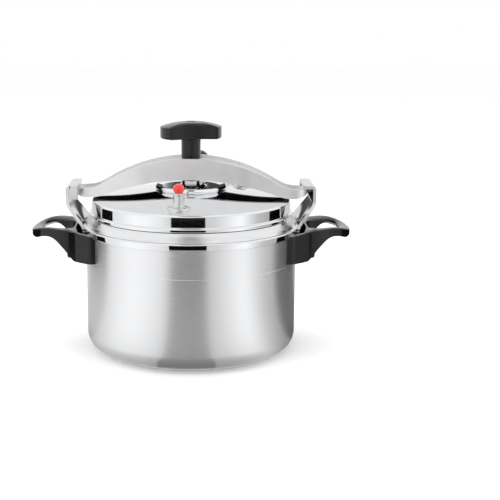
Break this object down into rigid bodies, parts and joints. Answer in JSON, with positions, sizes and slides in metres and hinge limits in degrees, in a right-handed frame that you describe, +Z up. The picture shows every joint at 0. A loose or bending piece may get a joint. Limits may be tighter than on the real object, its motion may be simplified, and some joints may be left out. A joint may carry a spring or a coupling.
{
  "type": "pressure canner",
  "caption": "Aluminium pressure canner with a clamped lid: arched bridge under two side hooks, wing knob on a clamp screw, lid valves and loop handles.",
  "frame": {"origin": "centre of the bottom of the overall box, on the axis of the pot, in the plane it stands on", "axes": "+X towards the right-hand handle, -Y towards the front with the red indicator, +Z up"},
  "size_m": [0.364, 0.246, 0.2599],
  "materials": {
    "satin_aluminium": "turned satin",
    "polished_aluminium": "mirror polished",
    "cast_aluminium": "polished casting",
    "steel_plate": "rolled and bent",
    "bright_steel": "polished",
    "dark_bolt": "blackened",
    "black_bakelite": "glossy moulding",
    "red_plastic": "glossy",
    "silicone": "matt silicone"
  },
  "bodies": {
    "vessel": {"pot_body": "satin_aluminium", "lid_shell": "polished_aluminium", "lid_gasket": "silicone", "pressure_disc": "polished_aluminium", "disc_rivets": "polished_aluminium", "hook_left": "steel_plate", "hook_right": "steel_plate", "mount_lug_left": "satin_aluminium", "mount_lug_right": "satin_aluminium", "handle_left": "black_bakelite", "handle_right": "black_bakelite", "handle_bolts_left": "dark_bolt", "handle_bolts_right": "dark_bolt", "hook_rivets_left": "steel_plate", "hook_rivets_right": "steel_plate", "vent_pipe": "bright_steel", "vent_washer": "bright_steel", "vent_nut": "bright_steel", "vent_screen": "bright_steel", "indicator_housing": "bright_steel", "indicator_nut": "bright_steel", "safety_valve_body": "bright_steel", "safety_valve_nut": "bright_steel", "safety_plug": "silicone"},
    "bridge": {"bridge_beam": "cast_aluminium", "bridge_nut": "bright_steel"},
    "screw_foot": {"screw_foot": "bright_steel", "foot_clip": "bright_steel"},
    "knob": {"knob_grip": "black_bakelite", "clamp_screw": "bright_steel", "knob_cap": "dark_bolt"},
    "weight": {"regulator_weight": "bright_steel", "regulator_cap": "black_bakelite"},
    "indicator": {"indicator_pin": "bright_steel", "indicator_head": "red_plastic", "indicator_seal": "silicone"}
  },
  "joints": [
    {"name": "bridge_swing", "type": "hinge", "parent": "vessel", "child": "bridge", "pos_m": [0, 0, 0.2], "axis": [0, 0, 1], "range_deg": [-50, 6]},
    {"name": "screw_lift", "type": "slide", "parent": "bridge", "child": "screw_foot", "axis": [0, 0, 1], "range_m": [0, 0.009]},
    {"name": "knob_turn", "type": "hinge", "parent": "screw_foot", "child": "knob", "pos_m": [0, 0, 0.22], "axis": [0, 0, 1], "range_deg": [0, 1085]},
    {"name": "weight_lift", "type": "slide", "parent": "vessel", "child": "weight", "axis": [0, 0, 1], "range_m": [0, 0.03]},
    {"name": "indicator_rise", "type": "slide", "parent": "vessel", "child": "indicator", "axis": [0, 0, 1], "range_m": [0, 0.006]}
  ],
  "couplings": [
    {"joint": "knob_turn", "follows": "screw_lift", "rad_per_m": 2094.4}
  ]
}
